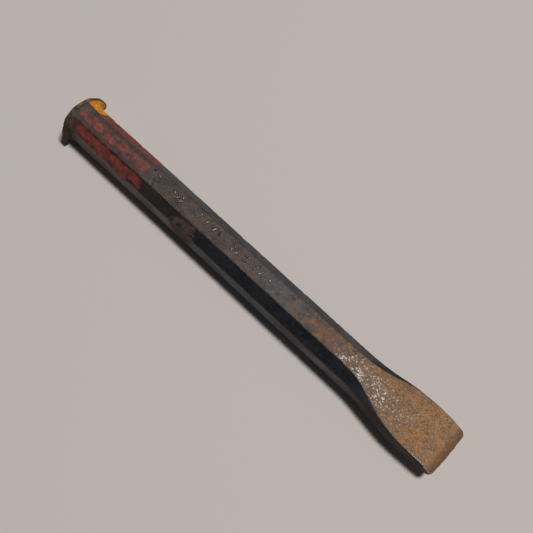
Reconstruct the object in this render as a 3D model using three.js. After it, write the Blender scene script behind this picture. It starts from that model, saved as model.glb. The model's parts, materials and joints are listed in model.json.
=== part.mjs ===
// A flat cold chisel: one drop forging of octagonal tool-steel bar, lying on one of its flats.
// Millimetres, +Z up. +X runs along the bar towards the cutting edge. The origin is on the resting
// flat, under the middle of the chisel's length. The bar's axis is half its across-flats size above it.

import * as THREE from 'three';

// Overall sizes.
const OVERALL_LENGTH = 180;
const ACROSS_FLATS = 14;
const BEVEL_LEG = 3.75;             // each corner bevel of the octagonal bar, measured along a flat
const BLADE_WIDTH = 19;             // the blade where it is widest

// The blade. Each place is a distance back from the cutting edge.
const NECK_START = 43;              // the top and bottom flats leave the bar
const NECK_END = 30;                // they have come down to the wedge
const SPREAD_START = 40;            // the sides leave the bar
const SPREAD_END = 13;              // the blade is at its full width
const BEVEL_FADE_START = 44;        // the corner bevels begin to narrow
const WEDGE_THICKNESS = 9.6;        // thickness where the neck ends
const WEDGE_ANGLE = 8.6;            // included angle of the forged wedge, in degrees
const ARRIS_BREAK = 0.35;           // what is left of the corner bevels on the blade

// The ground cutting edge.
const EDGE_ANGLE = 70;              // included angle, in degrees
const EDGE_LAND = 0.6;              // thickness of the dulled edge
const SHOULDER_BLEND = 1.6;         // how softly the wedge turns into the ground edge
const EDGE_WIDTH_LOSS = 0.4;        // how much narrower the blade is at the edge than at its widest
const EDGE_BOW = 0.35;              // how far the edge's middle stands in front of its ends
const EDGE_BOW_DEPTH = 12;          // how far back from the edge the bow reaches
const EDGE_CORNER_RADIUS = 1.4;

// The struck head, which hammering has spread into a rim.
const SKIRT_LENGTH = 4.6;           // from the bar to the back of the rim
const RIM_THICKNESS = 1.2;
const CROWN_HEIGHT = 3.6;           // how far the struck face domes out past the rim
const CROWN_POWER = 1.5;            // 1 makes the struck face a cone, 2 a dome
const RIM_OVERHANG = 1.25;          // how far the rim stands out from the flats where it is least spread
const LOBE_CURL = 0.5;              // how far a lobe curls back, as a share of its reach

// Where the rim has rolled out further, or been chipped away: direction around the bar from +Y
// towards +Z, reach and half angle.
const RIM_LOBES = [
  { direction: 2, reach: 2.3, halfAngle: 30 },
  { direction: 48, reach: 0.7, halfAngle: 24 },
  { direction: 104, reach: -0.5, halfAngle: 14 },
  { direction: 145, reach: 0.5, halfAngle: 20 },
  { direction: 204, reach: 2.2, halfAngle: 20 },
  { direction: 318, reach: 1.3, halfAngle: 24 },
];

// How finely the surface is divided.
const STEPS_PER_FLAT = 5;
const SKIRT_STEPS = 6;
const RIM_STEPS = 2;
const CROWN_STEPS = 6;
const BLADE_STEPS = 18;
const GRIND_STEPS = 3;
const CORNER_STEPS = 5;

// Values that follow from the sizes above.
const STRUCK_END = -OVERALL_LENGTH / 2;
const EDGE_END = OVERALL_LENGTH / 2;
const BAR_HALF = ACROSS_FLATS / 2;
const BLADE_HALF = BLADE_WIDTH / 2;
const EDGE_HALF = BLADE_HALF - EDGE_WIDTH_LOSS / 2;
const RIM_FRONT = STRUCK_END + CROWN_HEIGHT;
const RIM_BACK = RIM_FRONT + RIM_THICKNESS;
const SKIRT_START = RIM_BACK + SKIRT_LENGTH;

const slope = (includedAngle) => Math.tan(THREE.MathUtils.degToRad(includedAngle / 2));
const ease = (x, from, to) => THREE.MathUtils.smoothstep(x, from, to);
const lerp = THREE.MathUtils.lerp;
const shares = (count) => Array.from({ length: count }, (_, i) => (i + 1) / count);

// The smaller of two sizes, with the corner between them rounded off over the blend.
function softMin(a, b, blend) {
  const overlap = Math.max(0, 1 - Math.abs(a - b) / blend);
  return Math.min(a, b) - overlap ** 2 * blend / 4;
}

// Half thickness of the blade at x: the bar, the neck, the forged wedge and last the ground edge.
function halfThickness(x) {
  const wedge = WEDGE_THICKNESS / 2 - (x - (EDGE_END - NECK_END)) * slope(WEDGE_ANGLE);
  const forged = lerp(BAR_HALF, wedge, ease(x, EDGE_END - NECK_START, EDGE_END - NECK_END));
  const ground = EDGE_LAND / 2 + (EDGE_END - x) * slope(EDGE_ANGLE);
  return softMin(forged, ground, SHOULDER_BLEND);
}

// Half width of the blade at x, with the corners of the cutting edge rounded off.
function halfWidth(x) {
  const spread = lerp(BAR_HALF, BLADE_HALF, ease(x, EDGE_END - SPREAD_START, EDGE_END - SPREAD_END));
  const past = THREE.MathUtils.clamp((x - (EDGE_END - SPREAD_END)) / SPREAD_END, 0, 1);
  const width = spread - (BLADE_HALF - EDGE_HALF) * past;
  const intoCorner = THREE.MathUtils.clamp(x - (EDGE_END - EDGE_CORNER_RADIUS), 0, EDGE_CORNER_RADIUS);
  return width - EDGE_CORNER_RADIUS + Math.sqrt(EDGE_CORNER_RADIUS ** 2 - intoCorner ** 2);
}

// The eight-sided section at x, seen along the bar, as points about its centre.
function section(x) {
  const width = halfWidth(x);
  const height = halfThickness(x);
  const fade = ease(x, EDGE_END - BEVEL_FADE_START, EDGE_END - SPREAD_END);
  const bevelAcross = lerp(BEVEL_LEG, ARRIS_BREAK, fade);
  const bevelUp = bevelAcross * (height / BAR_HALF);
  const corners = [
    [width, bevelUp - height],
    [width, height - bevelUp],
    [width - bevelAcross, height],
    [bevelAcross - width, height],
    [-width, height - bevelUp],
    [-width, bevelUp - height],
    [bevelAcross - width, -height],
    [width - bevelAcross, -height],
  ].map(([y, z]) => new THREE.Vector2(y, z));
  return corners.flatMap((corner, i) => {
    const next = corners[(i + 1) % corners.length];
    return shares(STEPS_PER_FLAT).map((share) => corner.clone().lerp(next, share));
  });
}

// How far the lobes push the rim out in the direction of an angle, in radians from +Y towards +Z.
function lobeReach(angle) {
  return RIM_LOBES.reduce((sum, lobe) => {
    const turned = angle - THREE.MathUtils.degToRad(lobe.direction);
    const away = Math.abs(Math.atan2(Math.sin(turned), Math.cos(turned)));
    return sum + lobe.reach * Math.exp(-((away / THREE.MathUtils.degToRad(lobe.halfAngle)) ** 2));
  }, 0);
}

// One ring of points across the head. Spread goes from the bar (0) to the rim (1), and shrink closes
// the crown.
function headRing(x, spread, shrink) {
  return section(STRUCK_END).map((point) => {
    const angle = point.angle();
    const reach = lobeReach(angle);
    const rim = BAR_HALF + RIM_OVERHANG + reach;
    const radius = lerp(point.length(), rim, spread) * shrink;
    const curl = reach * LOBE_CURL * spread * shrink;
    const z = BAR_HALF + radius * Math.sin(angle);
    return new THREE.Vector3(x + curl, radius * Math.cos(angle), Math.max(z, 0));
  });
}

// The rings of the head, from the crown to the end of the skirt.
function headRings() {
  const crown = shares(CROWN_STEPS).map((share) => {
    return headRing(STRUCK_END + CROWN_HEIGHT * share ** CROWN_POWER, 1, share);
  });
  const rim = shares(RIM_STEPS).map((share) => headRing(lerp(RIM_FRONT, RIM_BACK, share), 1, 1));
  const skirt = shares(SKIRT_STEPS).map((share) => {
    const turn = (1 - share) * Math.PI / 2;
    return headRing(SKIRT_START - SKIRT_LENGTH * Math.sin(turn), 1 - Math.cos(turn), 1);
  });
  return [...crown, ...rim, ...skirt];
}

// One ring of points across the blade, bowed forward towards the edge.
function bladeRing(x) {
  const bow = EDGE_BOW * ease(x, EDGE_END - EDGE_BOW_DEPTH, EDGE_END);
  return section(x).map((point) => {
    const back = bow * (point.x / EDGE_HALF) ** 2;
    return new THREE.Vector3(x - back, point.x, BAR_HALF + point.y);
  });
}

// The rings of the neck, the blade, the ground edge and its rounded corners.
function bladeRings() {
  const neckStart = EDGE_END - Math.max(NECK_START, SPREAD_START, BEVEL_FADE_START);
  const wedgeAtEdge = WEDGE_THICKNESS / 2 - NECK_END * slope(WEDGE_ANGLE);
  const lean = slope(EDGE_ANGLE) - slope(WEDGE_ANGLE);
  const grindStart = EDGE_END - (wedgeAtEdge - EDGE_LAND / 2 + SHOULDER_BLEND) / lean;
  const cornerStart = EDGE_END - EDGE_CORNER_RADIUS;
  const forged = [0, ...shares(BLADE_STEPS)].map((share) => lerp(neckStart, grindStart, share));
  const ground = shares(GRIND_STEPS).map((share) => lerp(grindStart, cornerStart, share));
  const corner = shares(CORNER_STEPS).map((share) => {
    return cornerStart + EDGE_CORNER_RADIUS * Math.sin(share * Math.PI / 2);
  });
  return [...forged, ...ground, ...corner].sort((a, b) => a - b).map(bladeRing);
}

// A closed skin over rings of equal length, with a point at each end.
function skinOver(rings, firstPoint, lastPoint) {
  const count = rings[0].length;
  const points = [firstPoint, ...rings.flat(), lastPoint];
  const at = (ring, i) => 1 + ring * count + (i % count);
  const faces = [];
  for (let i = 0; i < count; i += 1) {
    faces.push(0, at(0, i + 1), at(0, i));
    for (let ring = 0; ring + 1 < rings.length; ring += 1) {
      faces.push(at(ring, i), at(ring, i + 1), at(ring + 1, i));
      faces.push(at(ring, i + 1), at(ring + 1, i + 1), at(ring + 1, i));
    }
    faces.push(points.length - 1, at(rings.length - 1, i), at(rings.length - 1, i + 1));
  }
  const skin = new THREE.BufferGeometry().setFromPoints(points);
  skin.setIndex(faces);
  return skin;
}

// The whole forging in one piece: head, bar, neck and blade.
function forging() {
  const crownPoint = new THREE.Vector3(STRUCK_END, 0, BAR_HALF);
  const edgePoint = new THREE.Vector3(EDGE_END, 0, BAR_HALF);
  const skin = skinOver([...headRings(), ...bladeRings()], crownPoint, edgePoint);
  skin.computeVertexNormals();
  return skin;
}

const lacqueredToolSteel = new THREE.MeshStandardMaterial({
  name: 'lacquered_tool_steel',
  color: 0x4a3f38,
  roughness: 0.55,
  metalness: 0.5,
});

const chisel = new THREE.Mesh(forging(), lacqueredToolSteel);
chisel.name = 'chisel_forging';

const model = new THREE.Group();
model.name = 'flat_cold_chisel';
model.add(chisel);

export default model;
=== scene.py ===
"""A worn flat cold chisel lying on a pale floor.

The forging is one piece of steel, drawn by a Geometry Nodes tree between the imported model's ends and
on its flats: the hammered head, the octagonal bar, the neck and the blade. Raised forging marks stand
along the upper flat. The finishes are laid over each other as coats: forge scale, rust, rubbed steel,
black lacquer, red enamel and old yellow paint.
Sizes in this file are millimetres, and the frame's are metres.
"""

import json
import math

import bpy
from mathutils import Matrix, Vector


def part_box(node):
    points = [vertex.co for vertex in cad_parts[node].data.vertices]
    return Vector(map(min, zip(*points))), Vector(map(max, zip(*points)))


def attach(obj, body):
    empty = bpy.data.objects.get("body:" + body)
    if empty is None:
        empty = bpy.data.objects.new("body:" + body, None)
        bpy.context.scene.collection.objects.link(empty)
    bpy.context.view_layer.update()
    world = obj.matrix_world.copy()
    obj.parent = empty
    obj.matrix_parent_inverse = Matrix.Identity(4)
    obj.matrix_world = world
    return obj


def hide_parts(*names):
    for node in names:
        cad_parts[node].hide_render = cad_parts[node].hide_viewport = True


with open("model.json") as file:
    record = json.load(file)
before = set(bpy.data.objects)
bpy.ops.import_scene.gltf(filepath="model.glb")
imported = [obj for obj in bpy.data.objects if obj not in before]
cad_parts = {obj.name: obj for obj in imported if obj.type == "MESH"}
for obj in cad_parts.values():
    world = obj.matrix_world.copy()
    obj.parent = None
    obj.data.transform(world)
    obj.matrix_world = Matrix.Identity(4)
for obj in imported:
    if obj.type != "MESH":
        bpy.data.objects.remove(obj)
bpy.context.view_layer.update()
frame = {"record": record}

MM = 0.001
scene = bpy.context.scene

# ---------------------------------------------------------------- sizes taken from the frame

low, high = (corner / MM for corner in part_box("chisel_forging"))
flats = {mount["name"]: Vector(mount["pos_m"]) / MM for mount in frame["record"]["mounts"]}
BAR_TOP = flats["upper_flat"].z
BAR_HALF = (BAR_TOP - flats["resting_flat"].z) / 2

# ---------------------------------------------------------------- sizes of the forging

BEVEL_LEG = 3.75                             # each corner bevel of the bar, along a flat
BLADE_WIDTH = 19.0
WEDGE_THICKNESS, WEDGE_ANGLE = 9.6, 8.6      # where the neck ends, and between the faces in degrees
EDGE_ANGLE, EDGE_LAND = 70.0, 0.6            # between the ground faces, and the dulled edge's thickness
CORNER_RADIUS = 1.4
SKIRT_LENGTH, RIM_THICKNESS, CROWN_HEIGHT = 4.6, 1.2, 3.6

# Distances back from the cutting edge.
NECK_START, NECK_END = 43.0, 30.0
SPREAD_START, SPREAD_END = 40.0, 13.0
BEVEL_FADE_START = 44.0
GRIND_REACH = 10.0                           # where the ground faces are drawn from, inside the wedge
EDGE_BOW_DEPTH = 12.0

wedge_slope = math.tan(math.radians(WEDGE_ANGLE / 2))
edge_slope = math.tan(math.radians(EDGE_ANGLE / 2))
skirt_start = low.x + CROWN_HEIGHT + RIM_THICKNESS + SKIRT_LENGTH

FORGING = {
    "Struck End": low.x,
    "Edge End": high.x,
    "Bar Half": BAR_HALF,
    "Bevel Leg": BEVEL_LEG,
    "Arris Break": 0.35,                     # what is left of the corner bevels on the blade
    "Arris Wear": 0.009,                     # how softly one face turns into the next at an arris
    "Blade Half": BLADE_WIDTH / 2,
    "Neck Start": high.x - NECK_START,
    "Neck End": high.x - NECK_END,
    "Spread Start": high.x - SPREAD_START,
    "Spread End": high.x - SPREAD_END,
    "Bevel Fade Start": high.x - BEVEL_FADE_START,
    "Wedge At Neck": WEDGE_THICKNESS / 2,
    "Wedge At Edge": WEDGE_THICKNESS / 2 - NECK_END * wedge_slope,
    "Grind From": high.x - GRIND_REACH,
    "Grind Half": EDGE_LAND / 2 + GRIND_REACH * edge_slope,
    "Edge Land Half": EDGE_LAND / 2,
    "Shoulder Blend": 2.4,                   # how softly the wedge turns into the ground edge
    "Edge Loss Half": 0.2,                   # how far each end of the edge is in from the widest place
    "Edge Bow": 0.35,                        # how far the edge's middle stands in front of its ends
    "Edge Bow Start": high.x - EDGE_BOW_DEPTH,
    "Corner Radius": CORNER_RADIUS,
    "Crown Height": CROWN_HEIGHT,
    "Crown Power": 1.5,                      # 1 makes the struck face a cone, 2 a dome
    "Rim Thickness": RIM_THICKNESS,
    "Rim Overhang": 1.25,                    # past the flats, where the rim is least spread
    "Rim Tatter": 0.6,                       # how uneven the rim's outline is
    "Skirt Length": SKIRT_LENGTH,
    "Body Length": high.x - CORNER_RADIUS - skirt_start,
    "Lobe Curl": 0.5,                        # how far a lobe curls back, as a share of its reach
    "Waviness": 0.12,                        # of the forged flats
    "Pit Depth": 0.09,
    "Dent Depth": 0.4,                       # of the hammer's marks on the head
    "Nick Depth": 0.18,                      # along the arrises
    "Edge Nick Depth": 0.14,
}

# About how wide each kind of unevenness in the skin is.
WAVE_SIZE = 11.0
PIT_SIZE = 1.3
DENT_SIZE = 3.4
NICK_SIZE = 3.6
EDGE_NICK_SIZE = 2.2

# Where the unevenness is still slight or absent, and where it is full, along the bar.
BLADE_PITS = (30.0, 62.0)
HEAD_PITS = (-76.0, -82.0)
HAMMER_DENTS = (low.x + CROWN_HEIGHT + RIM_THICKNESS, low.x + CROWN_HEIGHT)
EDGE_NICKS = (high.x - 1.2, high.x)

ARRIS_SHARE = 0.16                           # how much of a face next to an arris counts as the arris
RIM_TATTERS = 3.4                            # how finely the rim's outline is torn
WELD_DISTANCE = 0.002                        # closes the seam and the two poles

# The resting flat stays this far clear of the floor. The other two limits are beyond the chisel.
RESTING_GAP = 0.005
LOWEST_PLACE = (2 * low.x, 2 * low.x, RESTING_GAP)

# Direction around the bar from +Y towards +Z in degrees, reach, and half angle in degrees. A reach
# below 0 is a split or a chip.
RIM_LOBES = [
    (2, 2.3, 30), (48, 0.7, 24), (145, 0.5, 20), (204, 2.2, 20), (318, 1.3, 24),
    (106, -0.7, 8), (252, -1.2, 6), (272, -0.6, 8), (291, -1.4, 5), (341, -0.9, 5),
]

# How many rings of points each stretch has, and how many points are in a ring.
RINGS = {"crown": 22, "rim": 7, "skirt": 20, "body": 566, "corner": 8, "land": 1}
AROUND = 144

# ---------------------------------------------------------------- small helpers


def srgb(code):
    """A hex colour as the four linear numbers that Blender takes."""
    channels = [int(code[i:i + 2], 16) / 255 for i in (0, 2, 4)]
    return [c / 12.92 if c <= 0.04045 else ((c + 0.055) / 1.055) ** 2.4 for c in channels] + [1.0]


def add(tree, kind, inputs=(), **settings):
    """Adds a node, sets its settings, and feeds its inputs, which are listed or named.

    A socket or a node is linked, and a node stands for its first output in use. The rest are values.
    """
    node = tree.nodes.new(kind)
    for name, value in settings.items():
        setattr(node, name, value)
    for key, value in inputs.items() if isinstance(inputs, dict) else enumerate(inputs):
        if isinstance(value, bpy.types.Node):
            value = next(socket for socket in value.outputs if socket.enabled)
        if isinstance(value, bpy.types.NodeSocket):
            tree.links.new(value, node.inputs[key])
        else:
            node.inputs[key].default_value = value
    return node


def new_tree(name, sizes):
    """A Geometry Nodes tree with a named input for each size. Returns it and its input sockets."""
    tree = bpy.data.node_groups.new(name, "GeometryNodeTree")
    for label, value in sizes.items():
        socket = tree.interface.new_socket(label, in_out="INPUT", socket_type="NodeSocketFloat")
        socket.default_value = value
    tree.interface.new_socket("Geometry", in_out="OUTPUT", socket_type="NodeSocketGeometry")
    return tree, add(tree, "NodeGroupInput").outputs


def finish_tree(tree, geometry, material):
    """Ends a tree: millimetres to metres, smooth shading, real geometry and its material."""
    metres = add(tree, "GeometryNodeTransform", {"Geometry": geometry, "Scale": (MM, MM, MM)})
    smooth = add(tree, "GeometryNodeSetShadeSmooth", [metres])
    real = add(tree, "GeometryNodeRealizeInstances", [smooth])
    coated = add(tree, "GeometryNodeSetMaterial", {"Geometry": real, "Material": material})
    add(tree, "NodeGroupOutput", [coated])


def grow(name, tree, sizes):
    """Runs a tree and keeps what it makes as a plain mesh, with no modifier left on the object."""
    piece = bpy.data.objects.new(name, bpy.data.meshes.new(name + "_seed"))
    scene.collection.objects.link(piece)
    modifier = piece.modifiers.new(tree.name, "NODES")
    modifier.node_group = tree
    for item in tree.interface.items_tree:
        if item.in_out == "INPUT":
            modifier[item.identifier] = float(sizes[item.name])
    depsgraph = bpy.context.evaluated_depsgraph_get()
    mesh = bpy.data.meshes.new_from_object(piece.evaluated_get(depsgraph), depsgraph=depsgraph)
    piece.modifiers.clear()
    piece.data = mesh
    mesh.name = name
    return piece


# ---------------------------------------------------------------- the forging


def rim_reach(tree, size, aim):
    """How far the rim stands out past its plain ring: rolled lobes, splits and a tattered outline."""
    reach = 0.0
    for direction, depth, half_angle in RIM_LOBES:
        turn = math.radians(direction)
        tightness = 2 / math.radians(half_angle) ** 2
        lobe = (0.0, math.cos(turn), math.sin(turn))
        facing = add(tree, "ShaderNodeVectorMath", [aim, lobe], operation="DOT_PRODUCT").outputs["Value"]
        falloff = add(tree, "ShaderNodeMath", [facing, tightness, -tightness], operation="MULTIPLY_ADD")
        bump = add(tree, "ShaderNodeMath", [falloff], operation="EXPONENT")
        reach = add(tree, "ShaderNodeMath", [bump, depth, reach], operation="MULTIPLY_ADD")
    tatter = add(tree, "ShaderNodeTexNoise", {"Vector": aim, "Scale": RIM_TATTERS, "Detail": 3.0})
    centred = add(tree, "ShaderNodeMath", [tatter, 0.5], operation="SUBTRACT")
    return add(tree, "ShaderNodeMath", [centred, size["Rim Tatter"], reach], operation="MULTIPLY_ADD")


def bar_section(tree, size, along, corner_turn, turn):
    """The eight-sided section at a place along the bar, as a distance from its centre in a direction.

    Returns the direction, the distance and how close the place is to an arris, from 0 to 1.
    """
    wedge = add(tree, "ShaderNodeMapRange", [
        along, size["Neck End"], size["Edge End"], size["Wedge At Neck"], size["Wedge At Edge"],
    ], clamp=False)
    drawn = add(tree, "ShaderNodeMapRange", [along, size["Neck Start"], size["Neck End"]],
                interpolation_type="SMOOTHSTEP")
    forged = add(tree, "ShaderNodeMix", {0: drawn, 2: size["Bar Half"], 3: wedge})
    ground = add(tree, "ShaderNodeMapRange", [
        along, size["Grind From"], size["Edge End"], size["Grind Half"], size["Edge Land Half"],
    ], clamp=False)
    height = add(tree, "ShaderNodeMath", [forged, ground, size["Shoulder Blend"]], operation="SMOOTH_MIN")

    spread = add(tree, "ShaderNodeMapRange", [
        along, size["Spread Start"], size["Spread End"], size["Bar Half"], size["Blade Half"],
    ], interpolation_type="SMOOTHSTEP")
    loss = add(tree, "ShaderNodeMapRange", [
        along, size["Spread End"], size["Edge End"], 0.0, size["Edge Loss Half"],
    ])
    corner_cosine = add(tree, "ShaderNodeMath", [corner_turn], operation="COSINE")
    corner_cut = add(tree, "ShaderNodeMath", [1.0, corner_cosine], operation="SUBTRACT")
    full = add(tree, "ShaderNodeMath", [spread, loss], operation="SUBTRACT")
    cut = add(tree, "ShaderNodeMath", [corner_cut, size["Corner Radius"]], operation="MULTIPLY")
    width = add(tree, "ShaderNodeMath", [full, cut], operation="SUBTRACT")

    bevel_across = add(tree, "ShaderNodeMapRange", [
        along, size["Bevel Fade Start"], size["Spread End"], size["Bevel Leg"], size["Arris Break"],
    ], interpolation_type="SMOOTHSTEP")
    flatness = add(tree, "ShaderNodeMath", [height, size["Bar Half"]], operation="DIVIDE")
    bevel_up = add(tree, "ShaderNodeMath", [bevel_across, flatness], operation="MULTIPLY")

    angle = add(tree, "ShaderNodeMath", [turn, -2 * math.pi], operation="MULTIPLY")
    across = add(tree, "ShaderNodeMath", [
        add(tree, "ShaderNodeMath", [angle], operation="COSINE"), width], operation="MULTIPLY")
    upward = add(tree, "ShaderNodeMath", [
        add(tree, "ShaderNodeMath", [angle], operation="SINE"), height], operation="MULTIPLY")
    aim = add(tree, "ShaderNodeVectorMath", [
        add(tree, "ShaderNodeCombineXYZ", [0.0, across, upward])], operation="NORMALIZE")
    quadrant = add(tree, "ShaderNodeSeparateXYZ", [
        add(tree, "ShaderNodeVectorMath", [aim], operation="ABSOLUTE")])
    sideways, up = quadrant.outputs["Y"], quadrant.outputs["Z"]

    # Each face pulls the outline in by one over its own distance, and the strongest pull wins.
    side_pull = add(tree, "ShaderNodeMath", [sideways, width], operation="DIVIDE")
    flat_pull = add(tree, "ShaderNodeMath", [up, height], operation="DIVIDE")
    lean = add(tree, "ShaderNodeMath", [
        sideways, bevel_up, add(tree, "ShaderNodeMath", [up, bevel_across], operation="MULTIPLY"),
    ], operation="MULTIPLY_ADD")
    leg_product = add(tree, "ShaderNodeMath", [bevel_across, bevel_up], operation="MULTIPLY")
    bevel_place = add(tree, "ShaderNodeMath", [
        width, bevel_up, add(tree, "ShaderNodeMath", [height, bevel_across], operation="MULTIPLY"),
    ], operation="MULTIPLY_ADD")
    bevel_place = add(tree, "ShaderNodeMath", [bevel_place, leg_product], operation="SUBTRACT")
    bevel_pull = add(tree, "ShaderNodeMath", [lean, bevel_place], operation="DIVIDE")
    outer = add(tree, "ShaderNodeMath", [side_pull, flat_pull, size["Arris Wear"]], operation="SMOOTH_MAX")
    pull = add(tree, "ShaderNodeMath", [outer, bevel_pull, size["Arris Wear"]], operation="SMOOTH_MAX")
    distance = add(tree, "ShaderNodeMath", [1.0, pull], operation="DIVIDE")

    larger = add(tree, "ShaderNodeMath", [side_pull, flat_pull], operation="MAXIMUM")
    smaller = add(tree, "ShaderNodeMath", [side_pull, flat_pull], operation="MINIMUM")
    second = add(tree, "ShaderNodeMath", [
        smaller, add(tree, "ShaderNodeMath", [larger, bevel_pull], operation="MINIMUM"),
    ], operation="MAXIMUM")
    strongest = add(tree, "ShaderNodeMath", [larger, bevel_pull], operation="MAXIMUM")
    lead = add(tree, "ShaderNodeMath", [strongest, second], operation="SUBTRACT")
    lead_share = add(tree, "ShaderNodeMath", [lead, strongest], operation="DIVIDE")
    arris = add(tree, "ShaderNodeMapRange", [lead_share, 0.0, ARRIS_SHARE, 1.0, 0.0])
    return aim, distance, arris


def forging_tree(material):
    """The whole skin of the chisel, as rings of points from the crown of the head to the edge."""
    tree, size = new_tree("forged_chisel", FORGING)
    steps = sum(RINGS.values())
    grid = add(tree, "GeometryNodeMeshGrid", [float(steps), 1.0, steps + 1, AROUND + 1])
    spot = add(tree, "ShaderNodeSeparateXYZ", [add(tree, "GeometryNodeInputPosition")])
    ring, turn = spot.outputs["X"], spot.outputs["Y"]

    # Along each stretch of rings its share runs from 0 to 1.
    share = {}
    start = -steps / 2
    for part, count in RINGS.items():
        share[part] = add(tree, "ShaderNodeMapRange", [ring, start, start + count])
        start += count

    crown_out = add(tree, "ShaderNodeMath", [share["crown"], size["Crown Power"]], operation="POWER")
    fold = add(tree, "ShaderNodeMapRange", [share["skirt"], 0.0, 1.0, math.pi / 2, 0.0])
    fold_sine = add(tree, "ShaderNodeMath", [fold], operation="SINE")
    unfolded = add(tree, "ShaderNodeMath", [1.0, fold_sine], operation="SUBTRACT")
    fold_cosine = add(tree, "ShaderNodeMath", [fold], operation="COSINE")
    spread = add(tree, "ShaderNodeMath", [1.0, fold_cosine], operation="SUBTRACT")
    corner_turn = add(tree, "ShaderNodeMath", [share["corner"], math.pi / 2], operation="MULTIPLY")
    corner_out = add(tree, "ShaderNodeMath", [corner_turn], operation="SINE")

    along = size["Struck End"]
    for travel, length in (
        (crown_out, "Crown Height"),
        (share["rim"], "Rim Thickness"),
        (unfolded, "Skirt Length"),
        (share["body"], "Body Length"),
        (corner_out, "Corner Radius"),
    ):
        along = add(tree, "ShaderNodeMath", [travel, size[length], along], operation="MULTIPLY_ADD")

    aim, distance, arris = bar_section(tree, size, along, corner_turn, turn)

    # The head: the bar's outline gives way to the rim's, and the crown closes in to the middle.
    reach = rim_reach(tree, size, aim)
    plain_rim = add(tree, "ShaderNodeMath", [size["Bar Half"], size["Rim Overhang"]], operation="ADD")
    rim = add(tree, "ShaderNodeMath", [plain_rim, reach], operation="ADD")
    open_radius = add(tree, "ShaderNodeMix", {0: spread, 2: distance, 3: rim})
    radius = add(tree, "ShaderNodeMath", [open_radius, share["crown"]], operation="MULTIPLY")
    rimward = add(tree, "ShaderNodeMath", [spread, share["crown"]], operation="MULTIPLY")
    curl = add(tree, "ShaderNodeMath", [reach, size["Lobe Curl"]], operation="MULTIPLY")

    aimed = add(tree, "ShaderNodeSeparateXYZ", [aim])
    out_y = add(tree, "ShaderNodeMath", [aimed.outputs["Y"], radius], operation="MULTIPLY")
    out_z = add(tree, "ShaderNodeMath", [aimed.outputs["Z"], radius], operation="MULTIPLY")
    not_closed = add(tree, "ShaderNodeMath", [1.0, share["land"]], operation="SUBTRACT")
    place_z = add(tree, "ShaderNodeMath", [out_z, not_closed, size["Bar Half"]], operation="MULTIPLY_ADD")
    lifted_z = add(tree, "ShaderNodeMath", [place_z, 0.0], operation="MAXIMUM")

    curled = add(tree, "ShaderNodeMath", [curl, rimward, along], operation="MULTIPLY_ADD")
    bow = add(tree, "ShaderNodeMapRange", [
        along, size["Edge Bow Start"], size["Edge End"], 0.0, size["Edge Bow"],
    ], interpolation_type="SMOOTHSTEP")
    edge_share = add(tree, "ShaderNodeMath", [out_y, size["Blade Half"]], operation="DIVIDE")
    edge_square = add(tree, "ShaderNodeMath", [edge_share, edge_share], operation="MULTIPLY")
    drop = add(tree, "ShaderNodeMath", [bow, edge_square], operation="MULTIPLY")
    place_x = add(tree, "ShaderNodeMath", [curled, drop], operation="SUBTRACT")
    place = add(tree, "ShaderNodeCombineXYZ", [place_x, out_y, lifted_z])

    named = grid
    for name, value in (("arris", arris), ("rimward", rimward)):
        named = add(tree, "GeometryNodeStoreNamedAttribute", {
            "Geometry": named, "Name": name, "Value": value}, data_type="FLOAT", domain="POINT")
    skin = add(tree, "GeometryNodeSetPosition", {"Geometry": named, "Position": place})
    closed = add(tree, "GeometryNodeMergeByDistance", {"Geometry": skin, "Distance": WELD_DISTANCE})
    normal = add(tree, "GeometryNodeInputNormal")
    faced = add(tree, "GeometryNodeStoreNamedAttribute", {
        "Geometry": closed, "Name": "facing", "Value": normal}, data_type="FLOAT_VECTOR", domain="POINT")
    uneven = add(tree, "GeometryNodeSetPosition", {"Geometry": faced, "Offset": relief(tree, size)})
    lowest = add(tree, "ShaderNodeVectorMath", [
        add(tree, "GeometryNodeInputPosition"), LOWEST_PLACE], operation="MAXIMUM")
    rested = add(tree, "GeometryNodeSetPosition", {"Geometry": uneven, "Position": lowest})
    finish_tree(tree, rested, material)
    return tree


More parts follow.
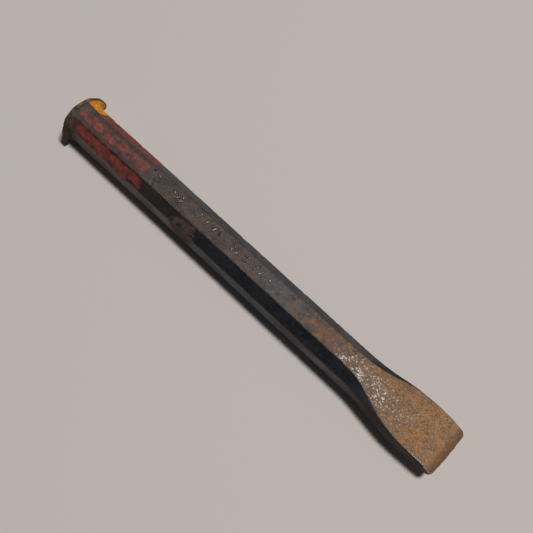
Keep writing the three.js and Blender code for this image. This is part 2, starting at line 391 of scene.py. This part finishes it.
def relief(tree, size):
    """What forging, hammering and rust have done to the skin, as an offset along its normal."""
    place = add(tree, "GeometryNodeInputPosition")
    spot = add(tree, "ShaderNodeSeparateXYZ", [place])
    arris = add(tree, "GeometryNodeInputNamedAttribute", {"Name": "arris"}, data_type="FLOAT")
    rimward = add(tree, "GeometryNodeInputNamedAttribute", {"Name": "rimward"}, data_type="FLOAT")

    wave = add(tree, "ShaderNodeTexNoise", {"Vector": place, "Scale": 1 / WAVE_SIZE, "Detail": 2.0})
    wave_out = add(tree, "ShaderNodeMapRange", [wave, 0.2, 0.8, -0.5, 0.5])
    pits = add(tree, "ShaderNodeTexNoise", {"Vector": place, "Scale": 1 / PIT_SIZE, "Detail": 3.0})
    pit_out = add(tree, "ShaderNodeMapRange", [pits, 0.5, 0.75, 0.0, -1.0])
    rusty = add(tree, "ShaderNodeMath", [
        add(tree, "ShaderNodeMapRange", [spot.outputs["X"], *BLADE_PITS, 0.35, 1.0]),
        add(tree, "ShaderNodeMapRange", [spot.outputs["X"], *HEAD_PITS]),
    ], operation="MAXIMUM")
    pit_out = add(tree, "ShaderNodeMath", [pit_out, rusty], operation="MULTIPLY")
    dents = add(tree, "ShaderNodeTexVoronoi", {"Vector": place, "Scale": 1 / DENT_SIZE},
                feature="SMOOTH_F1")
    dent_out = add(tree, "ShaderNodeMapRange", [dents, 0.1, 0.75, -0.5, 0.6])
    hammered = add(tree, "ShaderNodeMapRange", [spot.outputs["X"], *HAMMER_DENTS])
    dent_out = add(tree, "ShaderNodeMath", [dent_out, hammered], operation="MULTIPLY")
    nicks = add(tree, "ShaderNodeTexNoise", {"Vector": place, "Scale": 1 / NICK_SIZE, "Detail": 2.0})
    nick_out = add(tree, "ShaderNodeMapRange", [nicks, 0.56, 0.72, 0.0, -1.0])
    nick_out = add(tree, "ShaderNodeMath", [nick_out, arris], operation="MULTIPLY")
    off_rim = add(tree, "ShaderNodeMath", [1.0, rimward], operation="SUBTRACT")
    nick_out = add(tree, "ShaderNodeMath", [nick_out, off_rim], operation="MULTIPLY")
    edge_zone = add(tree, "ShaderNodeMapRange", [spot.outputs["X"], *EDGE_NICKS])
    edge_nicks = add(tree, "ShaderNodeTexNoise", {
        "Vector": place, "Scale": 1 / EDGE_NICK_SIZE, "Detail": 2.0})
    edge_out = add(tree, "ShaderNodeMapRange", [edge_nicks, 0.48, 0.7, 0.0, -1.0])
    edge_out = add(tree, "ShaderNodeMath", [edge_out, edge_zone], operation="MULTIPLY")

    total = 0.0
    for part, depth in (
        (wave_out, "Waviness"),
        (pit_out, "Pit Depth"),
        (dent_out, "Dent Depth"),
        (nick_out, "Nick Depth"),
        (edge_out, "Edge Nick Depth"),
    ):
        total = add(tree, "ShaderNodeMath", [part, size[depth], total], operation="MULTIPLY_ADD")
    normal = add(tree, "GeometryNodeInputNormal")
    return add(tree, "ShaderNodeVectorMath", {0: normal, "Scale": total}, operation="SCALE")


# ---------------------------------------------------------------- raised marks on the upper flat

MARKS = {
    "Stroke Width": 0.85,
    "Stroke Height": 0.3,
    "Stroke Wear": 0.2,                      # how unevenly the strokes are worn down
    "Mark Height": 3.1,                      # across the bar
    "Mark Middle": 0.5,                      # towards +Y from the middle of the flat
    "Flat Height": BAR_TOP,
}
WEAR_SIZE = 1.8                              # about how long a worn stretch of a stroke is
STROKE_POINTS = 13
STROKE_SIDES = 12
STROKE_TIP = 0.3                             # how thin a stroke's ends are, as a share of its middle

# Plain shapes in a box one high and about as wide, each a list of strokes between two corners.
RAILS = [((-0.4, 0.3), (0.4, 0.3)), ((-0.4, -0.3), (0.4, -0.3))]
CHEVRON = [((-0.25, 0.5), (0.25, 0)), ((0.25, 0), (-0.25, -0.5))]
SLASH = [((-0.2, -0.5), (0.2, 0.5))]
DASH = [((-0.3, 0), (0.3, 0))]

# What stands where: the middle of each mark along the bar, and its strokes.
MARK_ROW = [
    (-59.3, SLASH), (-44.8, RAILS), (-37.0, CHEVRON), (-35.0, CHEVRON), (-33.0, CHEVRON),
    (-24.5, SLASH), (-20.8, SLASH), (-17.1, SLASH), (-7.6, CHEVRON), (-5.6, CHEVRON), (-1.8, RAILS),
    (3.0, SLASH), (5.4, SLASH), (9.4, DASH),
]


def marks_tree(material):
    """Low rounded strokes, half sunk in the flat."""
    tree, size = new_tree("raised_marks", MARKS)
    join = tree.nodes.new("GeometryNodeJoinGeometry")
    for middle, strokes in MARK_ROW:
        for start, end in strokes:
            ends = []
            for across, up in (start, end):
                along_bar = add(tree, "ShaderNodeMath", [size["Mark Height"], across, middle],
                                operation="MULTIPLY_ADD")
                across_bar = add(tree, "ShaderNodeMath", [size["Mark Height"], up, size["Mark Middle"]],
                                 operation="MULTIPLY_ADD")
                ends.append(add(tree, "ShaderNodeCombineXYZ", [along_bar, across_bar, 0.0]))
            stroke = add(tree, "GeometryNodeCurvePrimitiveLine", {"Start": ends[0], "End": ends[1]})
            tree.links.new(stroke.outputs[0], join.inputs[0])
    line = add(tree, "GeometryNodeResampleCurve", {"Curve": join, "Count": STROKE_POINTS})
    along = add(tree, "GeometryNodeSplineParameter").outputs["Factor"]
    from_middle = add(tree, "ShaderNodeMapRange", [along, 0.0, 1.0, -1.0, 1.0])
    sixth = add(tree, "ShaderNodeMath", [
        add(tree, "ShaderNodeMath", [from_middle], operation="ABSOLUTE"), 6.0], operation="POWER")
    taper = add(tree, "ShaderNodeMapRange", [sixth, 0.0, 1.0, 1.0, STROKE_TIP])
    half_width = add(tree, "ShaderNodeMath", [size["Stroke Width"], 0.5], operation="MULTIPLY")
    ring = add(tree, "GeometryNodeCurvePrimitiveCircle", {
        "Resolution": STROKE_SIDES, "Radius": half_width})
    body = add(tree, "GeometryNodeCurveToMesh", {
        "Curve": line, "Profile Curve": ring, "Scale": taper, "Fill Caps": True})

    place = add(tree, "GeometryNodeInputPosition")
    spot = add(tree, "ShaderNodeSeparateXYZ", [place])
    share = add(tree, "ShaderNodeMath", [spot.outputs["Z"], half_width], operation="DIVIDE")
    wear = add(tree, "ShaderNodeTexNoise", {"Vector": place, "Scale": 1 / WEAR_SIZE, "Detail": 3.0})
    worn = add(tree, "ShaderNodeMapRange", [wear, 0.4, 0.75, 0.0, size["Stroke Wear"]])
    height = add(tree, "ShaderNodeMath", [size["Stroke Height"], worn], operation="SUBTRACT")
    lift = add(tree, "ShaderNodeMath", [share, height, size["Flat Height"]], operation="MULTIPLY_ADD")
    lifted = add(tree, "ShaderNodeCombineXYZ", [spot.outputs["X"], spot.outputs["Y"], lift])
    named = body
    for name, value, kind in (
        ("proud", add(tree, "ShaderNodeMapRange", [share, 0.6, 0.95]), "FLOAT"),
        # The lower sides of each stroke, down to where it meets the flat, are marked for darkening: painted
        # shade in the crease, with some grime.
        ("flank_shade_and_grime", add(tree, "ShaderNodeMapRange", [share, 0.8, 0.5]), "FLOAT"),
        ("facing", (0.0, 0.0, 1.0), "FLOAT_VECTOR"),
    ):
        named = add(tree, "GeometryNodeStoreNamedAttribute", {
            "Geometry": named, "Name": name, "Value": value}, data_type=kind, domain="POINT")
    sunk = add(tree, "GeometryNodeSetPosition", {"Geometry": named, "Position": lifted})
    finish_tree(tree, sunk, material)
    return tree


# ---------------------------------------------------------------- finishes

# Where each stretch of the surface begins and where it is full, in millimetres along the bar. A pair
# that runs backwards is a stretch towards the head.
HEAD = (-79.5, -83.5)
ENAMEL_FROM_RIM = (-83.2, -80.4)
ENAMEL_TO_BAR = (-47.6, -50.8)
UNDER_ENAMEL_SCALE = (-46.0, -56.0)
UNDER_ENAMEL_LACQUER = (-46.0, -54.0)
BROWNED_SCALE = (-50.0, -36.0)
BROWNED_LACQUER = (-22.0, -30.0)
MARKS_FROM_HEAD, MARKS_TO_BLADE = (-52.0, -46.0), (16.0, 8.0)
BLUED_FROM, BLUED_TO = (-2.0, 10.0), (36.0, 24.0)
FIRST_RUST, MORE_RUST, FULL_RUST, EDGE_RUST = (10.0, 22.0), (18.0, 34.0), (44.0, 62.0), (62.0, 80.0)
BAR_RUST = (46.0, 36.0)
REDDENED_RUST = (84.0, 88.5)
RUBBED_FROM, RUBBED_TO = (37.0, 45.0), (82.0, 54.0)
BLADE = (40.0, 50.0)
DULL_MARGINS = (80.0, 66.0)
FAR_MARGIN_FROM, FAR_MARGIN_TO = (50.0, 56.0), (74.0, 64.0)
BLADE_LACQUER = (52.0, 68.0)
DULLED_LACQUER = (42.0, 66.0)
THINNED_LACQUER = (60.0, 90.0)
GROUND = (85.8, 86.8)
NEAR_TIP = (76.0, 83.0)
YELLOW = (-80.8, -82.6)

# The same, across the bar towards +Y, out from its middle, or up from the floor.
RUBBED_SIDE = (6.5, -3.0)
FAR_MARGIN_SIDE = (2.5, 7.0)
BROWNED_SIDE = (2.0, -2.0)
TIP_CORNER = (-3.0, -6.0)
YELLOW_SIDE = (3.6, 4.4)
STAINED_SIDE = (-4.0, -2.0)
BLADE_MARGINS = (4.5, 8.5)
MIDDLE_OF_FLAT = (3.2, 1.2)
SCUFFED_SIDE = (0.5, 3.0)
UPPER_ARRISES = (9.5, 11.5)
RIM_TOP = (11.5, 13.0)
OFF_FLOOR = (1.0, 4.0)

BEHIND_CROWN = (low.x + CROWN_HEIGHT - 0.6, low.x + CROWN_HEIGHT + 0.6)  # where yellow may begin
BARED_PATCH = (-26.0, -6.6, 9.0)             # where the lacquer has gone from the near upper bevel
BARED_REACH = (8.5, 3.0)                     # its outside and where it is bare, from the patch's middle
ON_FLAT, OFF_FLAT = (0.8, 0.93), (0.93, 0.8)  # how far the skin faces up or down
WANDER, WANDER_SIZE = 7.0, 4.0               # how far a coat's end wanders, and over what distance
AMOUNT_WEIGHT = 0.42                         # what an amount of 1 adds to a coat's ragged field
COAT_EDGE = 0.71                             # the level of the field at a coat's edge


def product(tree, *factors):
    """Multiplies its factors. Each is a number, a socket, a node or a limit.

    A limit is what is measured, where it is still 0 and where it reaches 1. The two may run backwards.
    """
    total = None
    for factor in factors:
        if isinstance(factor, tuple):
            factor = add(tree, "ShaderNodeMapRange", factor, interpolation_type="SMOOTHSTEP")
        if total is not None:
            factor = add(tree, "ShaderNodeMath", [total, factor], operation="MULTIPLY")
        total = factor
    return total


def sum_of(tree, base, *terms):
    """Adds terms to a base. Each is a factor, as product takes it, and its weight."""
    total = base
    for factor, weight in terms:
        total = add(tree, "ShaderNodeMath", [product(tree, factor), weight, total], operation="MULTIPLY_ADD")
    return total


def shades(tree, colour, *layers):
    """A hex colour turned towards others. Each layer is a factor, its strength and a hex colour."""
    colour = srgb(colour)
    for factor, strength, shade in layers:
        colour = add(tree, "ShaderNodeMix", {
            0: product(tree, factor, strength), 6: colour, 7: srgb(shade)}, data_type="RGBA")
    return colour


def cloud(tree, place, size, stretch, seed, detail, roughness=0.5):
    """A cloudy field, this many millimetres fine, drawn out along the bar and moved by the seed."""
    drawn = add(tree, "ShaderNodeVectorMath", [place, (1 / stretch, 1.0, 1.0), (seed, seed, seed)],
                operation="MULTIPLY_ADD")
    return add(tree, "ShaderNodeTexNoise", {
        "Vector": drawn, "Scale": 1 / size, "Detail": detail, "Roughness": roughness})


def patches(tree, place, size, start, full, stretch=1.0, detail=5.0, seed=0.0):
    """Ragged patches about this many millimetres across: 0 outside them and 1 inside."""
    field = cloud(tree, place, size, stretch, seed, detail)
    return add(tree, "ShaderNodeMapRange", [field, start, full])


def coverage(tree, place, size, amount, stretch=1.0, seed=0.0, softness=0.03):
    """Where a ragged coat hides what is under it. An amount of 0 is almost nowhere, and 1 everywhere."""
    field = cloud(tree, place, size, stretch, seed, detail=6.0, roughness=0.62)
    raised = add(tree, "ShaderNodeMath", [amount, AMOUNT_WEIGHT, field], operation="MULTIPLY_ADD")
    return add(tree, "ShaderNodeMapRange", [raised, COAT_EDGE - softness, COAT_EDGE + softness])


def lay_over(tree, under, over, where):
    """One coat over another. A coat is its colour, roughness, metallic and height in millimetres."""
    mixed = {"colour": add(tree, "ShaderNodeMix", {0: where, 6: under["colour"], 7: over["colour"]},
                           data_type="RGBA")}
    for quality in ("roughness", "metallic", "height"):
        mixed[quality] = add(tree, "ShaderNodeMix", {0: where, 2: under[quality], 3: over[quality]})
    return mixed


def read_surface(tree):
    """What the coats go by: the place in millimetres, which way it faces, and the skin's own attributes."""
    metres = add(tree, "ShaderNodeTexCoord").outputs["Object"]
    place = add(tree, "ShaderNodeVectorMath", {0: metres, "Scale": 1 / MM}, operation="SCALE")
    spot = add(tree, "ShaderNodeSeparateXYZ", [place])
    facing = add(tree, "ShaderNodeAttribute", attribute_name="facing").outputs["Vector"]
    faced = add(tree, "ShaderNodeSeparateXYZ", [facing])
    skin = {"place": place, "x": spot.outputs["X"], "y": spot.outputs["Y"], "z": spot.outputs["Z"],
            "struck": product(tree, (faced.outputs["X"], -0.45, -0.8)), "up": faced.outputs["Z"]}
    for name in ("arris", "rimward", "proud", "flank_shade_and_grime"):
        skin[name] = add(tree, "ShaderNodeAttribute", attribute_name=name).outputs["Fac"]

    skin["off_middle"] = add(tree, "ShaderNodeMath", [skin["y"]], operation="ABSOLUTE")

    # A bevel faces both sideways and up or down.
    skin["flat"] = add(tree, "ShaderNodeMath", [skin["up"]], operation="ABSOLUTE")
    skin["upright"] = add(tree, "ShaderNodeMath", [faced.outputs["Y"]], operation="ABSOLUTE")
    skin["bevel"] = product(tree, skin["flat"], skin["upright"], 2.0)
    skin["on_flat"] = product(tree, (skin["flat"], *ON_FLAT))

    # The place along the bar, made ragged, so that no coat ends in a straight line.
    wander = add(tree, "ShaderNodeTexNoise", {"Vector": place, "Scale": 1 / WANDER_SIZE, "Detail": 4.0})
    centred = add(tree, "ShaderNodeMath", [skin["x"], WANDER / 2], operation="SUBTRACT")
    ragged = sum_of(tree, centred, (wander, WANDER))
    skin["ragged"] = ragged
    skin["head"] = product(tree, (ragged, *HEAD))
    skin["blade"] = product(tree, (ragged, *BLADE))
    skin["ground"] = product(tree, (skin["x"], *GROUND))
    skin["rubbed"] = product(tree, (ragged, *RUBBED_FROM), (ragged, *RUBBED_TO),
                             (skin["y"], *RUBBED_SIDE), skin["on_flat"])
    from_patch = add(tree, "ShaderNodeVectorMath", [place, BARED_PATCH], operation="DISTANCE")
    skin["bared"] = product(tree, (from_patch.outputs["Value"], *BARED_REACH))
    return skin


def forge_scale(tree, skin):
    """Forge scale: the brown-grey oxide skin of the forging. It is dull, hard and here and there blued."""
    place, ragged = skin["place"], skin["ragged"]
    mottle = patches(tree, place, 2.6, 0.35, 0.65, stretch=1.5)
    fleck = patches(tree, place, 0.55, 0.42, 0.7, detail=3.0, seed=11.0)
    browned = product(tree, (ragged, *BROWNED_SCALE), skin["on_flat"],
                      patches(tree, place, 3.6, 0.42, 0.58, stretch=1.8, seed=9.0))
    blued = product(tree, (ragged, *BLUED_FROM), (ragged, *BLUED_TO), skin["on_flat"],
                    patches(tree, place, 2.4, 0.45, 0.56, seed=5.0))
    return {
        "colour": shades(
            tree, "2a221e",
            (mottle, 1.0, "3e322c"),
            (browned, 0.6, "4a3429"),
            (fleck, 0.45, "5c4e46"),
            (blued, 0.75, "3a4144"),
            ((ragged, *UNDER_ENAMEL_SCALE), 0.5, "2b1b14"),
            # Near black on the lower sides of the raised marks: painted shade along the crease with the
            # flat, with some grime.
            (skin["flank_shade_and_grime"], 0.9, "14100e"),
        ),
        "roughness": add(tree, "ShaderNodeMapRange", [mottle, 0.0, 1.0, 0.72, 0.6]),
        "metallic": 0.2,
        "height": product(tree, fleck, 0.02),
    }


def rust(tree, skin):
    """Rust: dull, grainy and swollen, ochre on the blade, redder at the ground edge, brown on the head."""
    place, ragged = skin["place"], skin["ragged"]
    grain = patches(tree, place, 0.42, 0.3, 0.7, detail=3.0, seed=3.0)
    bloom = patches(tree, place, 3.4, 0.42, 0.6, seed=7.0)
    far_margin = product(tree, (skin["y"], *FAR_MARGIN_SIDE), (ragged, *FAR_MARGIN_TO),
                         (ragged, *FAR_MARGIN_FROM))
    colour = shades(
        tree, "573b26",
        (grain, 1.0, "966c42"),
        (patches(tree, place, 5.0, 0.42, 0.6, seed=17.0), 0.45, "76624a"),
        (product(tree, bloom, grain), 0.85, "a8743a"),
        (patches(tree, place, 0.9, 0.52, 0.64, detail=4.0, seed=13.0), 0.4, "84776a"),
        (patches(tree, place, 0.75, 0.54, 0.64, detail=2.0, seed=19.0), 0.6, "402c22"),
        (product(tree, (skin["off_middle"], *BLADE_MARGINS), (ragged, *DULL_MARGINS)), 0.4, "6c5b47"),
        (far_margin, 0.6, "54402f"),
        ((ragged, *BAR_RUST), 0.65, "69412d"),
        ((ragged, *REDDENED_RUST), 0.4, "744a2c"),
        (skin["rubbed"], 0.75, "5c4c41"),
        (skin["head"], 0.75, "352a23"),
        (skin["bared"], 0.7, "4a3226"),
        # Darker rust on the sides and bevels than on the flats: partly a darker rust, partly painted shade
        # standing in for the shade on the sides.
        ((skin["flat"], *OFF_FLAT), 0.6, "37281f"),
    )
    amount = sum_of(
        tree, 0.02,
        (skin["bared"], 0.5),
        (product(tree, (ragged, *FIRST_RUST), skin["on_flat"]), 0.2),
        (product(tree, (ragged, *MORE_RUST), skin["on_flat"]), 0.25),
        (product(tree, (ragged, *FULL_RUST), skin["on_flat"]), 0.6),
        ((ragged, *EDGE_RUST), 0.2),
        (skin["ground"], 0.6),
        (skin["head"], 0.45),
    )
    coat = {"colour": colour, "roughness": 0.88, "metallic": 0.0, "height": product(tree, grain, 0.07)}
    return coat, coverage(tree, place, 1.5, amount, seed=23.0, softness=0.09)


def bare_steel(tree, skin):
    """Bare steel: rubbed bright in specks on the high points and hammered bright on the struck face."""
    place = skin["place"]
    near_tip = product(tree, (skin["x"], *NEAR_TIP), (skin["y"], *TIP_CORNER), (skin["arris"], 0.75, 0.95))
    cluster = patches(tree, place, 2.4, 0.44, 0.58, seed=37.0)
    high_points = sum_of(
        tree, 0.05,
        (skin["rubbed"], 0.2),
        (product(tree, skin["rubbed"], cluster), 0.22),
        (skin["blade"], 0.1),
        (skin["proud"], 0.4),
        (near_tip, 0.7),
    )
    amount = product(tree, high_points, (skin["up"], 0.2, 0.85))
    specks = coverage(tree, place, 0.62, amount, seed=31.0, softness=0.05)
    hammered = coverage(tree, place, 2.8, 0.55, seed=39.0, softness=0.12)
    where = sum_of(tree, specks, (product(tree, skin["struck"], hammered), 0.8))
    scratch = patches(tree, place, 0.4, 0.3, 0.7, detail=2.0, seed=29.0)
    coat = {"colour": srgb("93877c"), "roughness": 0.55, "metallic": 0.8,
            "height": product(tree, scratch, 0.06)}
    return coat, product(tree, (where, 0.0, 1.0))


def black_lacquer(tree, skin):
    """Black lacquer: baked on and glossy. Handling has taken it off the flats and dulled the rest."""
    place, ragged = skin["place"], skin["ragged"]
    among_marks = product(tree, (ragged, *MARKS_FROM_HEAD), (ragged, *MARKS_TO_BLADE), skin["on_flat"],
                          (skin["off_middle"], *MIDDLE_OF_FLAT))
    amount = sum_of(
        tree, 0.98,
        (skin["on_flat"], -0.8),
        (product(tree, skin["blade"], skin["on_flat"]), -0.5),
        (among_marks, 0.1),
        ((ragged, *THINNED_LACQUER), -0.22),
        (skin["ground"], -1.2),
        (skin["head"], -0.9),
        (product(tree, (skin["arris"], 0.45, 0.95), skin["bevel"]), -0.12),
        (skin["bared"], -0.75),
        (skin["proud"], -1.0),
    )
    wear = patches(tree, place, 4.0, 0.4, 0.62, stretch=2.0, seed=41.0)
    gloss_left = add(tree, "ShaderNodeMapRange", [wear, 0.0, 1.0, 0.27, 0.45])
    coat = {
        "colour": shades(
            tree, "10151b",
            (product(tree, (ragged, *BROWNED_LACQUER), (skin["y"], *BROWNED_SIDE)), 1.0, "231c18"),
            (patches(tree, place, 0.9, 0.42, 0.66, stretch=1.6, seed=47.0), 0.5, "2d2926"),
            ((ragged, *BLADE_LACQUER), 1.0, "1c1512"),
            ((ragged, *UNDER_ENAMEL_LACQUER), 1.0, "2a1f1a"),
        ),
        "roughness": sum_of(tree, gloss_left, ((ragged, *DULLED_LACQUER), 0.25),
                            ((skin["upright"], 0.8, 0.95), 0.1)),
        "metallic": 0.0,
        "height": 0.05,
    }
    return coat, coverage(tree, place, 3.0, amount, stretch=1.6, seed=43.0)


def red_enamel(tree, skin):
    """Red enamel: the head's dipped band, scuffed on the flats and gone from the upper arrises."""
    place, ragged = skin["place"], skin["ragged"]
    amount = sum_of(
        tree, 0.24, (skin["flat"], 0.28), (skin["bevel"], 0.36),
        (product(tree, (skin["arris"], 0.02, 0.5), (skin["z"], *UPPER_ARRISES)), -0.55),
        (product(tree, skin["on_flat"], (skin["y"], *SCUFFED_SIDE)), -0.12),
    )
    tone = patches(tree, place, 1.6, 0.35, 0.65, seed=59.0)
    dirt = patches(tree, place, 0.8, 0.45, 0.68, stretch=1.6, seed=71.0)
    coat = {
        "colour": shades(tree, "5a1f17", (tone, 1.0, "8a3226"), (dirt, 0.75, "3a2921")),
        "roughness": add(tree, "ShaderNodeMapRange", [tone, 0.0, 1.0, 0.7, 0.55]),
        "metallic": 0.0,
        "height": 0.08,
    }
    where = product(tree, coverage(tree, place, 1.7, amount, stretch=1.8, seed=53.0, softness=0.12),
                    (ragged, *ENAMEL_FROM_RIM), (ragged, *ENAMEL_TO_BAR))
    return coat, where


def yellow_paint(tree, skin):
    """Yellow paint: what is left of a later mark, in the shelter of the rim's far lobe."""
    place = skin["place"]
    tone = patches(tree, place, 1.0, 0.42, 0.62, seed=61.0)
    coat = {"colour": shades(tree, "a86a0c", (tone, 1.0, "d98f12")), "roughness": 0.65, "metallic": 0.0,
            "height": 0.12}
    slanted = sum_of(tree, skin["ragged"], (skin["y"], -0.55))
    where = product(
        tree, coverage(tree, place, 1.2, 0.8, seed=67.0, softness=0.06),
        (slanted, *YELLOW), (skin["y"], *YELLOW_SIDE), (skin["z"], *OFF_FLOOR), (skin["x"], *BEHIND_CROWN),
        (skin["rimward"], 0.95, 0.8), (skin["struck"], 0.3, 0.0))
    return coat, where


def paint_stain(tree, skin):
    """A brown stain of the yellow paint along the top of the rim, worn to a thin trace."""
    coat = {"colour": srgb("74501f"), "roughness": 0.7, "metallic": 0.0, "height": 0.06}
    where = product(
        tree, coverage(tree, skin["place"], 1.5, 0.42, seed=73.0, softness=0.06), 0.8,
        (skin["rimward"], 0.9, 0.99), (skin["z"], *RIM_TOP), (skin["y"], *STAINED_SIDE))
    return coat, where


def worn_tool_steel():
    """Drop-forged tool steel, lacquered black, its head dipped in red enamel, then used and left out."""
    material = bpy.data.materials.new("worn_lacquered_tool_steel")
    material.use_nodes = True
    tree = material.node_tree
    skin = read_surface(tree)
    coats = forge_scale(tree, skin)
    for coat in (rust, bare_steel, black_lacquer, red_enamel, yellow_paint, paint_stain):
        over, where = coat(tree, skin)
        coats = lay_over(tree, coats, over, where)

    shader = tree.nodes["Principled BSDF"]
    bump = add(tree, "ShaderNodeBump", {"Strength": 0.8, "Distance": MM, "Height": coats["height"]})
    tree.links.new(coats["colour"].outputs[2], shader.inputs["Base Color"])
    tree.links.new(coats["roughness"].outputs[0], shader.inputs["Roughness"])
    tree.links.new(coats["metallic"].outputs[0], shader.inputs["Metallic"])
    tree.links.new(bump.outputs[0], shader.inputs["Normal"])
    return material


# ---------------------------------------------------------------- making the chisel

finish = worn_tool_steel()
chisel = grow("forged_body", forging_tree(finish), FORGING)
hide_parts("chisel_forging")
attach(chisel, "root")

marks = grow("raised_marks", marks_tree(finish), MARKS)
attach(marks, "root")

# ---------------------------------------------------------------- floor, light and camera

FLOOR_HALF = 4.0                             # metres, as are the lamp's size and place


def pale_floor():
    """A matt, pale grey sheet at the height of the resting flat."""
    mesh = bpy.data.meshes.new("floor")
    corners = [(x * FLOOR_HALF, y * FLOOR_HALF, 0) for x, y in ((-1, -1), (1, -1), (1, 1), (-1, 1))]
    mesh.from_pydata(corners, [], [(0, 1, 2, 3)])
    floor = bpy.data.objects.new("floor", mesh)
    scene.collection.objects.link(floor)
    material = bpy.data.materials.new("pale_floor")
    material.use_nodes = True
    shader = material.node_tree.nodes["Principled BSDF"]
    shader.inputs["Base Color"].default_value = srgb("b3aaa6")
    shader.inputs["Roughness"].default_value = 0.9
    mesh.materials.append(material)
    return floor


pale_floor()

overhead = bpy.data.lights.new("overhead", "AREA")
overhead.size = 0.5
overhead.energy = 100.0
lamp = bpy.data.objects.new("overhead", overhead)
lamp.location = (0.6, 0.5, 3.0)
lamp.rotation_euler = (-lamp.location).to_track_quat("-Z", "Y").to_euler()
scene.collection.objects.link(lamp)

world = bpy.data.worlds.new("studio")
world.use_nodes = True
background = world.node_tree.nodes["Background"]
background.inputs["Color"].default_value = srgb("e6e9f0")
background.inputs["Strength"].default_value = 0.08
scene.world = world
scene.view_settings.view_transform = "Standard"

CAMERA_PLACE = Vector((62.7, -88.03, 258.46)) * MM
CAMERA_TURN = (23.378, -4.954, 43.586)       # degrees about X, Y and Z
camera_data = bpy.data.cameras.new("camera")
camera_data.sensor_width = 36.0
camera_data.lens = 53.36
camera_data.clip_start = 0.01
camera = bpy.data.objects.new("camera", camera_data)
camera.location = CAMERA_PLACE
camera.rotation_euler = [math.radians(angle) for angle in CAMERA_TURN]
scene.collection.objects.link(camera)
scene.camera = camera
